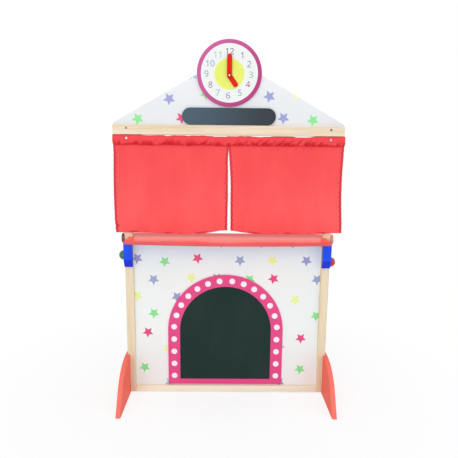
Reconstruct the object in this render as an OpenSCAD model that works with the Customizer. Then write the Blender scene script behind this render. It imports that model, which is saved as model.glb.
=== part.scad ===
// Child's puppet theatre on a chalkboard stand, in millimetres.
// Z is up and the stage looks towards -Y. The origin is on the floor, in the middle of the feet.

/* [Frame] */
// Width over the outer faces of the two stiles
frame_w = 700; // [560:5:850]
// Width of a stile or post, seen from the front
post_w = 28; // [24:1:36]
// Depth of a stile or post, front to back
post_d = 24; // [22:1:32]
// Radius of the long edges of a stile or post
post_edge_r = 2; // [1:0.5:4]
// Height of the frame's underside above the floor
frame_lift = 2; // [2:1:8]
// Height of the bottom rail
rail_h = 24; // [18:1:34]
// Height of the top rail, which is hidden behind the panel
top_rail_h = 29; // [20:1:40]
// Length of the half lap between a stile and its upper post
lap_l = 98.7; // [80:0.1:125]

/* [Panel] */
// Thickness of the front panel
panel_t = 4; // [3:0.5:6]
// Depth of the panel's face behind the front of the stiles
panel_recess = 9; // [6:0.5:10]
// Depth of the groove that holds the panel
groove_d = 5; // [3:0.5:6]
// Outer width of the arch trim
arch_w = 404; // [320:2:500]
// Height of the arch trim, from its foot to its crown
arch_h = 404; // [340:2:470]
// Width of the trim beside and over the chalkboard
arch_band = 42; // [30:1:60]
// Width of the trim under the chalkboard
arch_sill = 20; // [12:1:40]
// Gap between the bottom rail and the trim
arch_gap = 3; // [1:0.5:8]
// How far the arch stands to the right of the panel's middle
arch_shift = -5; // [-20:1:20]
// Thickness of the arch trim
arch_t = 3; // [2:0.5:5]
// Thickness of the chalkboard sheet
chalk_t = 2.5; // [1.5:0.5:4]

/* [Feet] */
// Radius of the round part of a foot, before and behind the stile
foot_r = 143; // [120:1:190]
// Angle above the floor at which that round runs out into a straight edge
foot_flare = 29; // [5:1:40]
// Thickness of a foot
foot_t = 16; // [12:1:22]
// How far a foot's outer face stands outside the stile
foot_out = 8; // [5:0.5:10]
// Radius that eases the rim of a foot
foot_edge_r = 2; // [1:0.5:3]

/* [Shelf] */
// Height of the shelf's top face above the floor
shelf_z = 566; // [500:2:690]
// Thickness of the shelf
shelf_t = 12; // [9:1:18]
// How far each end of the shelf stops inside the stile's outer face
shelf_in = 15; // [0:1:20]
// Distance of the front edge before the post's middle, at the centre
shelf_front = 111; // [85:1:130]
// How much the front edge bows out between its ends
shelf_bow = 23; // [15:1:45]
// Distance of the back edge behind the post's middle
shelf_back = 74; // [50:1:100]
// Radius of the shelf's corners, seen from above
shelf_corner_r = 6; // [4:1:12]
// Radius that eases the shelf's upper and lower edges
shelf_edge_r = 3; // [1:0.5:4]
// Diameter of the round cap on the bolt at each end of the shelf
cap_d = 34; // [26:1:42]
// Thickness of that cap
cap_t = 9; // [4:0.5:12]
// Diameter of the bolt through the post into the shelf's end
shelf_bolt_d = 5; // [4:0.5:6]
// Length of that bolt inside the shelf
shelf_bolt_in = 24; // [15:1:40]

/* [Brackets] */
// Height of the bracket under the shelf
bracket_h = 91; // [75:1:110]
// Depth of the bracket before the stile
bracket_d = 22; // [16:1:30]
// Height of the slanted cut at its foot
bracket_cut_h = 28; // [12:1:34]
// Depth of the slanted cut at its foot
bracket_cut_d = 14; // [6:1:16]

/* [Knobs] */
// Diameter of the knob's ball
knob_d = 34; // [26:1:40]
// Length of the knob over its flat back
knob_l = 22; // [18:1:28]
// Diameter of the threaded stud through the lap
stud_d = 6; // [5:0.5:8]
// Height of the left stud above the foot of the lap
left_stud_rise = 44; // [38:0.5:50]
// Height of the right stud above the foot of the lap
right_stud_rise = 24.5; // [18:0.5:30]
// Diameter of the washer under the knob
washer_d = 16; // [12:1:20]
// Thickness of that washer
washer_t = 1.5; // [1:0.1:2.5]
// Outer diameter of the metal insert in the knob
insert_d = 10; // [9:0.5:13]
// Length of that insert
insert_l = 14; // [10:0.5:16]

/* [Header] */
// Height of the stage opening, from the shelf to the header bar
stage_h = 338; // [280:2:420]
// Height of the header bar
bar_h = 31; // [24:1:44]
// Thickness of the header bar
bar_t = 12; // [9:1:18]
// How far the bar reaches past each post
bar_over = 24; // [12:1:36]
// Radius of the bar's long edges
bar_edge_r = 1.5; // [0.5:0.5:3]
// Thickness of the gable board behind the bar
gable_t = 8; // [6:0.5:12]
// Rise of the gable's point above the bar
gable_rise = 216; // [190:2:260]
// Height of the gable's upright end above the bar
gable_end_h = 6.4; // [0:0.2:12]
// Distance of the header's screws inside the outer face of a post
head_screw_in = 20; // [14:1:22]

/* [Clock] */
// Diameter of the clock board
clock_d = 206; // [180:2:250]
// Thickness of the clock board
clock_t = 6; // [4:0.5:9]
// Radius that eases the clock board's rim
clock_edge_r = 1; // [0.5:0.5:2]
// Gap between the sign plate and the clock board
clock_gap = 3.5; // [1:0.5:12]
// Width of a hand
hand_w = 16; // [10:1:20]
// Thickness of a hand
hand_t = 2.5; // [1.5:0.5:4]
// Length of the minute hand from the pin to its tip
minute_l = 65.5; // [50:0.5:80]
// Length of the hour hand from the pin to its tip
hour_l = 41; // [34:1:60]
// Hour that the short hand points to at rest
hour_shown = 4.8; // [0.2:0.2:12]
// Distance of the pin that carries the hands below the clock's middle
pin_drop = 8; // [0:1:16]
// Diameter of that pin
pin_d = 4; // [3:0.5:6]
// Diameter of the pin's head
pin_head_d = 8; // [6:0.5:10]

/* [Sign] */
// Width of the sign plate
sign_w = 302; // [240:2:380]
// Height of the sign plate
sign_h = 53; // [40:1:56]
// Thickness of the sign plate
sign_t = 6; // [4:0.5:9]
// Gap between the header bar and the sign plate
sign_gap = 2.5; // [1:0.5:4]

/* [Curtains] */
// Diameter of the wooden curtain rod
rod_d = 14; // [10:1:20]
// Distance of the rod's axis under the header bar
rod_drop = 12; // [10:0.5:16]
// Thickness of the cloth
cloth_t = 2; // [1:0.5:3]
// Gap between the shelf and the curtains' outer corners
curtain_gap = 17; // [8:1:40]
// How much the hems rise towards the middle
curtain_lift = 10; // [0:1:16]
// Gap between the curtains at the rod
slit_top = 1; // [1:0.5:8]
// Gap between the curtains at their feet
slit_foot = 10; // [3:0.5:20]
// Width of the hemmed leading edge, which slides
lead_w = 14; // [10:1:24]

/* [Fits] */
// Gap round a piece that slips into its seat
slip = 0.3; // [0.2:0.05:0.5]
// Gap between the two halves of a joint that are drawn together
close = 0.05; // [0.02:0.01:0.1]
// Radial gap of a turning fit
run = 0.05; // [0.02:0.01:0.09]
// Diameter of the wooden dowels
dowel_d = 6; // [5:0.5:8]
// Length of a dowel in each of its two pieces
dowel_in = 10; // [8:0.5:11]
// Diameter of the wood screws
screw_d = 4; // [3:0.5:5]
// Diameter of their heads
screw_head_d = 8; // [7:0.5:10]
// Depth of the cross recess in a screw's head
recess_d = 1.2; // [0.6:0.1:1.8]
// Reach of the recess from its middle, as a share of the head's diameter
recess_reach = 0.28; // [0.2:0.01:0.35]
// Half width of its slots, as a share of the head's diameter
recess_slot = 0.07; // [0.05:0.01:0.1]

/* [Hidden] */
$fn = 96;
bow_fn = 360;
both = [-1, 1];
post_out = frame_w / 2;
post_in = post_out - post_w;
post_y = post_d / 2;
lap_x = post_out - post_w / 2;

shelf_low = shelf_z - shelf_t;
stile_top = shelf_low - slip;
lap_z = stile_top - lap_l;
bar_z = shelf_z + stage_h;
bar_top = bar_z + bar_h;
bar_half = post_out + bar_over;
post_top = bar_top - 2;
gable_y = -post_y - gable_t;
bar_y = gable_y - bar_t;

panel_y = -post_y + panel_recess;
panel_back = panel_y + panel_t;
rail_top = frame_lift + rail_h;
groove_x = post_in + groove_d;
groove_z = rail_top - groove_d;
// Fasteners pass behind the panel and its groove
rear_y = (panel_back + post_y) / 2;

arch_r = arch_w / 2;
arch_foot = rail_top + arch_gap;
spring_z = arch_foot + arch_h - arch_r;
chalk_r = arch_r - arch_band;

foot_in = post_out - (foot_t - foot_out);
foot_screw_z = [foot_r * 0.3, foot_r * 0.72];
foot_screw_l = 26;
foot_screw_d = 5;

shelf_half = post_out - shelf_in;
bow_r = (shelf_half * shelf_half + shelf_bow * shelf_bow) / (2 * shelf_bow);
cap_z = shelf_low + shelf_t / 2;
cap_socket = cap_t - 2;
cap_round = 2;

bracket_z = stile_top - bracket_h;
bracket_edge_r = 2;
bracket_screw_rise = [26.5, 60];
bracket_screw_x = (groove_x + lap_x) / 2 - 1;
bracket_screw_in = 15;

function stud_z(side) = lap_z + (side < 0 ? left_stud_rise : right_stud_rise);
stud_y = rear_y;
stud_start = post_in + 3;
knob_x = post_out + washer_t + 2 * close;
stud_end = knob_x + insert_l - 1.5;

top_rail_z = stile_top - top_rail_h;
rail_dowels = [for (t = [0.3, 0.72]) frame_lift + t * rail_h];
top_dowels = [for (t = [0.25, 0.75]) top_rail_z + t * top_rail_h];

clock_y = gable_y - clock_t;
pin_washer_t = 0.8;
pin_washer_d = pin_head_d + 1;
hour_y = clock_y - pin_washer_t - run;
minute_y = hour_y - hand_t - pin_washer_t - 2 * run;
pin_head_y = minute_y - hand_t - run;
pin_head_t = 2.4;
nut_t = 3.2;
sign_z = bar_top + sign_gap;
clock_z = sign_z + sign_h + clock_gap + clock_d / 2;
pin_z = clock_z - pin_drop;
clock_screws = [for (s = both) [s * clock_d * 0.2, clock_z - clock_d * 0.12]];
sign_screws = [for (s = both) [s * sign_w * 0.36, sign_z + sign_h / 2]];
back_screw_l = gable_t + 4;
back_screw_head_t = 2;

head_screw_x = post_out - head_screw_in;
bar_screw_z = bar_z + bar_h * 0.65;
bar_screw_in = 16;
rod_z = bar_z - rod_drop;
sleeve_r = rod_d / 2 + slip;
sleeve_out_r = sleeve_r + cloth_t;
rod_y = -post_y - slip - sleeve_out_r;
rod_screw_head_y = rod_y - sleeve_out_r - slip;
rod_screw_head_t = 2.2;
rod_screw_in = 14;
curtain_foot = shelf_z + curtain_gap;
cut = 1;

// A piece modelled on the right, mirrored for the left side
module on_side(side) {
    if (side < 0) mirror([1, 0, 0]) children();
    else children();
}

// A round bar or hole along X
module rod_x(x0, x1, d, y, z) {
    translate([x0, y, z]) rotate([0, 90, 0]) cylinder(h = x1 - x0, d = d);
}

// A round bar or hole along Y
module rod_y(y0, y1, d, x, z) {
    translate([x, y1, z]) rotate([90, 0, 0]) cylinder(h = y1 - y0, d = d);
}

// An outline in X and Z, given its thickness between two depths
module face_plate(y0, y1) {
    translate([0, y1, 0]) rotate([90, 0, 0]) linear_extrude(y1 - y0) children();
}

// An outline in Y and Z, given its thickness between two places along X
module side_plate(x0, x1) {
    translate([x0, 0, 0]) rotate([90, 0, 90]) linear_extrude(x1 - x0) children();
}

// A box between two corners
module block(low, high) {
    translate(low) cube(high - low);
}

// A rectangle between two corners, with round corners
module round_rect(low, high, r) {
    translate([low.x + r, low.y]) square([high.x - low.x - 2 * r, high.y - low.y]);
    translate([low.x, low.y + r]) square([high.x - low.x, high.y - low.y - 2 * r]);
    for (x = [low.x + r, high.x - r], y = [low.y + r, high.y - r]) translate([x, y]) circle(r);
}

// A rectangle with half-round ends, between two points on its middle line
module pill(a, b, w) {
    turn = atan2(b.y - a.y, b.x - a.x);
    translate(a) rotate(turn) translate([0, -w / 2]) square([norm(b - a), w]);
    translate(a) circle(w / 2);
    translate(b) circle(w / 2);
}

// Cross recess in the face of a screw's head, sunk along Z from z
module cross_recess(head_d, z) {
    arm = head_d * recess_reach;
    slot = head_d * recess_slot;
    block([-arm, -slot, z - cut], [arm, slot, z + recess_d]);
    block([-slot, -arm, z - cut], [slot, arm, z + recess_d]);
}

// A countersunk screw along Z with its face at 0, or with a gap round it the hole that it fills
module sunk_screw(length, d, head_d, gap) {
    difference() {
        translate([0, 0, -gap]) {
            cylinder(h = length + gap, d = d + 2 * gap);
            cylinder(h = (head_d - d) / 2, d1 = head_d + 2 * gap, d2 = d + 2 * gap);
        }
        if (gap == 0) cross_recess(head_d, 0);
    }
}

// A screw along Z with a round-edged head under its seat
module pan_screw(length, d, head_d, head_t, driven) {
    difference() {
        union() {
            cylinder(h = length, d = d);
            translate([0, 0, -head_t]) rotate_extrude() {
                square([(head_d - head_t) / 2, head_t]);
                translate([(head_d - head_t) / 2, head_t / 2]) circle(head_t / 2);
            }
        }
        if (driven) cross_recess(head_d, -head_t);
    }
}

// Half section of a disc that stands on its flat face, with both rims eased
module disc_section(r, t, edge_r) {
    square([r - edge_r, t]);
    translate([0, edge_r]) square([r, t - 2 * edge_r]);
    for (h = [edge_r, t - edge_r]) translate([r - edge_r, h]) circle(edge_r);
}

// Groove in the stiles and the bottom rail for the panel, with slip round its edges
module panel_groove() {
    block([-groove_x, panel_y - close, groove_z], [groove_x, panel_back + close, shelf_z]);
}

module foot_screw_set(side, gap) {
    on_side(side)
        for (z = foot_screw_z)
            translate([post_out + foot_out, rear_y, z]) rotate([0, -90, 0])
                sunk_screw(foot_screw_l, foot_screw_d, 2 * foot_screw_d, gap);
}

module bracket_screw_set(side, gap) {
    on_side(side)
        for (rise = bracket_screw_rise)
            translate([bracket_screw_x, post_y, bracket_z + rise]) rotate([90, 0, 0])
                sunk_screw(post_d + bracket_screw_in, screw_d, screw_head_d, gap);
}

module header_screw_set(side, gap) {
    on_side(side)
        translate([head_screw_x, bar_y, bar_screw_z]) rotate([-90, 0, 0])
            sunk_screw(bar_t + gable_t + bar_screw_in, screw_d, screw_head_d, gap);
}

module rod_screw_hole(side, gap) {
    on_side(side)
        rod_y(rod_screw_head_y - cut, -post_y + rod_screw_in + gap, screw_d + 2 * gap, head_screw_x, rod_z);
}

module dowel_set(x_gap, gap) {
    for (side = both, z = concat(rail_dowels, top_dowels)) on_side(side)
        rod_x(post_in - dowel_in - x_gap, post_in + dowel_in + x_gap, dowel_d + 2 * gap, rear_y, z);
}

module stud_hole(side, gap) {
    on_side(side) rod_x(stud_start - gap, stud_end, stud_d + 2 * gap, stud_y, stud_z(side));
}

// Lower upright: full section up to the lap, then its inner half up to the shelf
module stile(side) {
    color("#ead9b8") difference() {
        on_side(side) difference() {
            translate([0, 0, frame_lift]) linear_extrude(stile_top - frame_lift)
                round_rect([post_in, -post_y], [post_out, post_y], post_edge_r);
            block([lap_x, -post_d, lap_z], [post_out + cut, post_d, stile_top + cut]);
        }
        panel_groove();
        dowel_set(slip, close);
        foot_screw_set(side, close);
        bracket_screw_set(side, close);
        stud_hole(side, close);
    }
}

// Upper post: the outer half of the lap, then full section through the shelf to the header
module upper_post(side) {
    color("#ecdcbc") difference() {
        on_side(side) difference() {
            translate([0, 0, lap_z + close]) linear_extrude(post_top - lap_z - close)
                round_rect([post_in, -post_y], [post_out, post_y], post_edge_r);
            block([post_in - cut, -post_d, lap_z - cut], [lap_x + close, post_d, stile_top + close]);
        }
        stud_hole(side, run);
        on_side(side) rod_x(post_in - cut, post_out + cut, shelf_bolt_d + 2 * close, 0, cap_z);
        header_screw_set(side, close);
        rod_screw_hole(side, close);
    }
}

module bottom_rail() {
    color("#ead9b8") difference() {
        block([-post_in, -post_y, frame_lift], [post_in, post_y, rail_top]);
        panel_groove();
        dowel_set(slip, close);
    }
}

// Behind the panel, under the shelf
module top_rail() {
    color("#e6d3ae") difference() {
        block([-post_in, panel_back + close, top_rail_z], [post_in, post_y, stile_top]);
        dowel_set(slip, close);
    }
}

module rail_dowels() {
    color("#d9bf8e") dowel_set(0, 0);
}

module front_panel() {
    x = groove_x - slip;
    color("#eef1f4") block([-x, panel_y, groove_z + slip], [x, panel_back, stile_top]);
}

// Round-headed door shape with its foot at z0
module arch_outline(r, z0) {
    translate([arch_shift - r, z0]) square([2 * r, spring_z - z0]);
    intersection() {
        translate([arch_shift, spring_z]) circle(r, $fn = 180);
        translate([arch_shift - r, spring_z]) square([2 * r, r + cut]);
    }
}

module arch_trim() {
    color("#f0408c") face_plate(panel_y - arch_t, panel_y) difference() {
        arch_outline(arch_r, arch_foot);
        arch_outline(chalk_r, arch_foot + arch_sill);
    }
}

module chalkboard() {
    color("#22332f") face_plate(panel_y - chalk_t, panel_y)
        arch_outline(chalk_r - close, arch_foot + arch_sill + close);
}

// Wing of a foot behind a stile: a sector of a round, and the straight edge that runs out from it
module foot_wing() {
    outer = foot_in + foot_t;
    intersection() {
        rotate([foot_flare, 0, 0]) {
            intersection() {
                translate([foot_in, 0, 0]) rotate([0, 90, 0])
                    rotate_extrude($fn = 180) disc_section(foot_r, foot_t, foot_edge_r);
                block([foot_in - cut, -2 * foot_r, 0], [outer + cut, 2 * foot_r, 2 * foot_r]);
            }
            translate([0, 0, -foot_r]) linear_extrude(foot_r)
                round_rect([foot_in, -2 * foot_edge_r], [outer, foot_r], foot_edge_r);
        }
        block([foot_in - cut, 0, 0], [outer + cut, 2 * foot_r, foot_r + cut]);
    }
}

// Both wings, with a stopped housing between them for the foot of the stile
module foot(side) {
    outer = foot_in + foot_t;
    color("#f4615c") difference() {
        on_side(side) difference() {
            union() {
                translate([0, post_y, 0]) foot_wing();
                mirror([0, 1, 0]) translate([0, post_y, 0]) foot_wing();
                intersection() {
                    face_plate(-post_y, post_y)
                        round_rect([foot_in, -foot_r], [outer, foot_r], foot_edge_r);
                    block([foot_in - cut, -post_y, 0], [outer + cut, post_y, foot_r + cut]);
                }
            }
            block([foot_in - cut, -post_y - close, frame_lift - close],
                [post_out + close, post_y + close, foot_r + cut]);
        }
        foot_screw_set(side, close);
    }
}

module foot_screws() {
    color("#8d9095") for (side = both) foot_screw_set(side, 0);
}

// Bowed front with an eased nose, and at each end a notch, open outwards, for the post
module shelf() {
    notch_y = post_y + slip;
    color("#f8605c") difference() {
        intersection() {
            translate([0, bow_r - shelf_front, shelf_low]) rotate_extrude($fn = bow_fn)
                disc_section(bow_r, shelf_t, shelf_edge_r);
            translate([0, 0, shelf_low]) linear_extrude(shelf_t)
                round_rect([-shelf_half, -shelf_front - cut], [shelf_half, shelf_back], shelf_corner_r);
            face_plate(-shelf_front - cut, shelf_back + cut)
                round_rect([-shelf_half, shelf_low], [shelf_half, shelf_z], shelf_edge_r);
            side_plate(-shelf_half - cut, shelf_half + cut)
                round_rect([-shelf_front - shelf_corner_r, shelf_low], [shelf_back, shelf_z], shelf_edge_r);
        }
        for (side = both) on_side(side) {
            block([post_in - slip, -notch_y, shelf_low - cut], [post_out, notch_y, shelf_z + cut]);
            rod_x(post_in - shelf_bolt_in - slip, post_in, shelf_bolt_d + 2 * close, 0, cap_z);
        }
    }
}

module shelf_end_bolts() {
    color("#9a9da1") for (side = both) on_side(side)
        rod_x(post_in - shelf_bolt_in, post_out + cap_socket, shelf_bolt_d, 0, cap_z);
}

// Turned wooden cap with a rounded rim
module shelf_end_caps() {
    color("#8e2f2a") for (side = both) on_side(side) difference() {
        translate([post_out + close, 0, cap_z]) rotate([0, 90, 0]) rotate_extrude() {
            square([cap_d / 2 - cap_round, cap_t]);
            square([cap_d / 2, cap_t - cap_round]);
            translate([cap_d / 2 - cap_round, cap_t - cap_round]) circle(cap_round);
        }
        rod_x(post_out - cut, post_out + cap_socket + slip, shelf_bolt_d + 2 * close, 0, cap_z);
    }
}

// Block under the shelf with its foot cut back on a slant
module bracket(side) {
    front = -post_y - bracket_d;
    color("#2450f0") difference() {
        on_side(side) intersection() {
            side_plate(post_in, post_out) polygon([
                [-post_y, bracket_z],
                [-post_y, stile_top],
                [front, stile_top],
                [front, bracket_z + bracket_cut_h],
                [front + bracket_cut_d, bracket_z]
            ]);
            translate([0, 0, bracket_z - cut]) linear_extrude(bracket_h + 2 * cut)
                round_rect([post_in, front], [post_out, post_y], bracket_edge_r);
        }
        bracket_screw_set(side, close);
    }
}

module bracket_screws() {
    color("#8d9095") for (side = both) bracket_screw_set(side, 0);
}

module clamp_studs() {
    color("#b9bcc0") for (side = both) stud_hole(side, 0);
}

module clamp_washers() {
    color("#c9ccd0") for (side = both) on_side(side) difference() {
        rod_x(post_out + close, post_out + washer_t, washer_d, stud_y, stud_z(side));
        rod_x(post_out - cut, post_out + washer_t + cut, stud_d + 2 * slip, stud_y, stud_z(side));
    }
}

// Ball with a flat back, bored for its insert
module knob(side, paint) {
    color(paint) on_side(side)
        translate([knob_x, stud_y, stud_z(side)]) rotate([0, 90, 0]) rotate_extrude() difference() {
            intersection() {
                translate([0, knob_l - knob_d / 2]) circle(d = knob_d);
                square([knob_d, knob_l]);
            }
            square([insert_d / 2 + close, insert_l + close]);
        }
}

module knob_insert(side) {
    color("#cdb56a") on_side(side) difference() {
        rod_x(knob_x, knob_x + insert_l, insert_d, stud_y, stud_z(side));
        rod_x(knob_x - cut, stud_end + slip, stud_d + 2 * run, stud_y, stud_z(side));
    }
}

module header_bar() {
    color("#f0dcb4") difference() {
        side_plate(-bar_half, bar_half)
            round_rect([bar_y, bar_z], [gable_y, bar_top], bar_edge_r);
        for (side = both) header_screw_set(side, close);
    }
}

// Low gable with short upright ends, whose foot runs down behind the bar
module gable_board() {
    color("#f2f4f6") difference() {
        face_plate(gable_y + close, -post_y) polygon([
            [-bar_half, bar_z],
            [bar_half, bar_z],
            [bar_half, bar_top + gable_end_h],
            [0, bar_top + gable_rise],
            [-bar_half, bar_top + gable_end_h]
        ]);
        for (side = both) header_screw_set(side, close);
        rod_y(gable_y - cut, 0, pin_d + 2 * close, 0, pin_z);
        for (p = concat(clock_screws, sign_screws)) rod_y(gable_y - cut, 0, screw_d - 1 + 2 * close, p.x, p.y);
    }
}

module header_screws() {
    color("#4a4d52") for (side = both) header_screw_set(side, 0);
}

// Screws driven from behind the gable into a board in front of it
module back_screws(places, gap) {
    for (p = places)
        translate([p.x, -post_y + close, p.y]) rotate([90, 0, 0])
            pan_screw(back_screw_l + gap, screw_d - 1 + 2 * gap, screw_head_d - 1, back_screw_head_t, gap == 0);
}

module clock_board() {
    color("#d8409a") difference() {
        translate([0, gable_y, clock_z]) rotate([90, 0, 0])
            rotate_extrude($fn = 180) disc_section(clock_d / 2, clock_t, clock_edge_r);
        rod_y(clock_y - cut, gable_y + cut, pin_d + 2 * close, 0, pin_z);
        back_screws(clock_screws, close);
    }
}

module clock_screws() {
    color("#9a9da1") back_screws(clock_screws, 0);
}

// Rivet-like pin: low round head in front of the hands, shank through both boards
module clock_pin() {
    shank_l = -post_y + nut_t + pin_washer_t - pin_head_y;
    color("#c4c7cb") translate([0, pin_head_y, pin_z]) rotate([-90, 0, 0])
        pan_screw(shank_l, pin_d, pin_head_d, pin_head_t, false);
}

// One washer behind each hand, and one under the nut
module pin_washers() {
    front = [clock_y - pin_washer_t, hour_y - hand_t - run - pin_washer_t, -post_y + close];
    color("#d2d5d8") for (y = front) difference() {
        rod_y(y, y + pin_washer_t - close, pin_washer_d, 0, pin_z);
        rod_y(y - cut, y + pin_washer_t + cut, pin_d + 4 * close, 0, pin_z);
    }
}

module pin_nut() {
    y = -post_y + pin_washer_t + close;
    color("#b4b7bb") difference() {
        translate([0, y + nut_t, pin_z]) rotate([90, 0, 0]) cylinder(h = nut_t, d = 2 * pin_d, $fn = 6);
        rod_y(y - cut, y + nut_t + cut, pin_d + 2 * close, 0, pin_z);
    }
}

// A pill-shaped hand whose back face is at y, pointing to an hour on the dial
module clock_hand(y, length, hour) {
    reach = length - hand_w / 2;
    tip = [reach * sin(30 * hour), pin_z + reach * cos(30 * hour)];
    color("#ee2a24") difference() {
        face_plate(y - hand_t, y) pill([0, pin_z], tip, hand_w);
        rod_y(y - hand_t - cut, y + cut, pin_d + 2 * run, 0, pin_z);
    }
}

module sign_plate() {
    middle = sign_z + sign_h / 2;
    reach = (sign_w - sign_h) / 2;
    color("#3c4c58") difference() {
        face_plate(gable_y - sign_t, gable_y) pill([-reach, middle], [reach, middle], sign_h);
        back_screws(sign_screws, close);
    }
}

module sign_screws() {
    color("#9a9da1") back_screws(sign_screws, 0);
}

module curtain_rod() {
    color("#e8d3a8") difference() {
        rod_x(-bar_half + 2, bar_half - 2, rod_d, rod_y, rod_z);
        for (side = both) rod_screw_hole(side, close);
    }
}

module rod_screws() {
    length = -post_y + rod_screw_in - rod_screw_head_y;
    color("#d6d9dc") for (side = both) on_side(side)
        translate([head_screw_x, rod_screw_head_y, rod_z]) rotate([-90, 0, 0])
            pan_screw(length, screw_d, screw_head_d, rod_screw_head_t, true);
}

// Stretch of curtain from the leading edge (lead) to the outer edge: a sleeve on the rod and a drop.
// The numbers are half widths at the rod and at the foot.
module curtain_stretch(lead_top, lead_foot, out_top, out_foot) {
    run_out = bar_half - slit_top / 2;
    function foot_z(x) = curtain_foot + curtain_lift * (bar_half - x) / run_out;
    difference() {
        union() {
            rod_x(lead_top, out_top, 2 * sleeve_out_r, rod_y, rod_z);
            face_plate(rod_y - cloth_t, rod_y + cloth_t) polygon([
                [lead_top, rod_z],
                [out_top, rod_z],
                [out_foot, foot_z(out_foot)],
                [lead_foot, foot_z(lead_foot)]
            ]);
        }
        rod_x(lead_top - cut, out_top + cut, 2 * sleeve_r, rod_y, rod_z);
    }
}

// Main cloth, pinned at its outer end by the rod's screw
module curtain(side) {
    inner = slit_top / 2 + lead_w + slip;
    color("#ee4a55") on_side(side) difference() {
        curtain_stretch(inner, inner + (slit_foot - slit_top) / 2, bar_half, bar_half);
        rod_y(rod_screw_head_y - cut, 0, screw_d + 2 * slip, head_screw_x, rod_z);
    }
}

// Hemmed leading edge, which draws the cloth out along the rod
module curtain_edge(side) {
    inner = slit_top / 2;
    foot_inner = slit_foot / 2;
    color("#e23f4c") on_side(side)
        curtain_stretch(inner, foot_inner, inner + lead_w, foot_inner + lead_w);
}

stile(-1);  // left_stile
stile(1);  // right_stile
upper_post(-1);  // left_upper_post
upper_post(1);  // right_upper_post
bottom_rail();
top_rail();
rail_dowels();
front_panel();
arch_trim();
chalkboard();
foot(-1);  // left_foot
foot(1);  // right_foot
foot_screws();
shelf();
shelf_end_bolts();
shelf_end_caps();
bracket(-1);  // left_bracket
bracket(1);  // right_bracket
bracket_screws();
clamp_studs();
clamp_washers();
knob(-1, "#3f9d5a");  // left_knob
knob_insert(-1);  // left_knob_insert
knob(1, "#b01c34");  // right_knob
knob_insert(1);  // right_knob_insert
header_bar();
gable_board();
header_screws();
clock_board();
clock_screws();
clock_pin();
pin_washers();
pin_nut();
clock_hand(hour_y, hour_l, hour_shown);  // hour_hand
clock_hand(minute_y, minute_l, 0);  // minute_hand
sign_plate();
sign_screws();
curtain_rod();
rod_screws();
curtain(-1);  // left_curtain
curtain(1);  // right_curtain
curtain_edge(-1);  // left_curtain_edge
curtain_edge(1);  // right_curtain_edge
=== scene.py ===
"""Looks of a child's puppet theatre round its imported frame: metres, Z up, stage towards -Y."""

import math

import bmesh
import bpy
from mathutils import Matrix, Vector, noise


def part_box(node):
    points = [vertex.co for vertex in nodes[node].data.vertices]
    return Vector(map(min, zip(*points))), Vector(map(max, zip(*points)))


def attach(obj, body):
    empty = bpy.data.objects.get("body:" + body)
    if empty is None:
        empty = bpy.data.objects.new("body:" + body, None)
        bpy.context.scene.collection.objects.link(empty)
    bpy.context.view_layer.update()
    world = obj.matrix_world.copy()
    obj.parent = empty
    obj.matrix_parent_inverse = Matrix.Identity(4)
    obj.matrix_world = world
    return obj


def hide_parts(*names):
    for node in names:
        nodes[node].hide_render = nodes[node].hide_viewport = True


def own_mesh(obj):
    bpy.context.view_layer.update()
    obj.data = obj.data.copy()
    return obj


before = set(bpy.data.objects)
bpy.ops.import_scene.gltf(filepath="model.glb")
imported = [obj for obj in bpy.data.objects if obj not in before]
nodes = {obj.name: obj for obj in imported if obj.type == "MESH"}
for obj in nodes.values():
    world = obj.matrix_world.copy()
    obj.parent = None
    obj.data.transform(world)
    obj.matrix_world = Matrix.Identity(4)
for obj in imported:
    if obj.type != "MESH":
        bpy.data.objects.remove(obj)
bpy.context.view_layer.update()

# The camera stands 1.5 m before the stage, a little above its middle, and looks down by 9 degrees.
# Its slight turn and roll are the photograph's own.
PIXELS_ACROSS = 458
FOCAL_PIXELS = 435.4
SENSOR = 36.0
CAMERA_PLACE = (-0.0117, -1.4646, 0.8297)
LOOK_DOWN = math.radians(9.17)
TURN_RIGHT = math.radians(0.61)
ROLL = math.radians(0.58)

lens = bpy.data.cameras.new("camera")
lens.sensor_width = SENSOR
lens.lens = FOCAL_PIXELS / PIXELS_ACROSS * SENSOR
camera = bpy.data.objects.new("camera", lens)
camera.matrix_world = (
    Matrix.Translation(CAMERA_PLACE)
    @ Matrix.Rotation(-TURN_RIGHT, 4, "Z")
    @ Matrix.Rotation(math.pi / 2 - LOOK_DOWN, 4, "X")
    @ Matrix.Rotation(ROLL, 4, "Z")
)
scene = bpy.context.scene
scene.collection.objects.link(camera)
scene.camera = camera
scene.view_settings.view_transform = "Standard"


# The studio is a white sweep in an even room, with broad lamps low in front, above and at the right.
# The floor keeps a faint shadow of the theatre, and fades into the white of the room.
def hue(red, green, blue):
    """The linear colour that a socket takes, from sRGB numbers 0 to 255."""
    parts = (c / 255 for c in (red, green, blue))
    return tuple(c / 12.92 if c <= 0.04 else ((c + 0.055) / 1.055) ** 2.4 for c in parts) + (1.0,)


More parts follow.
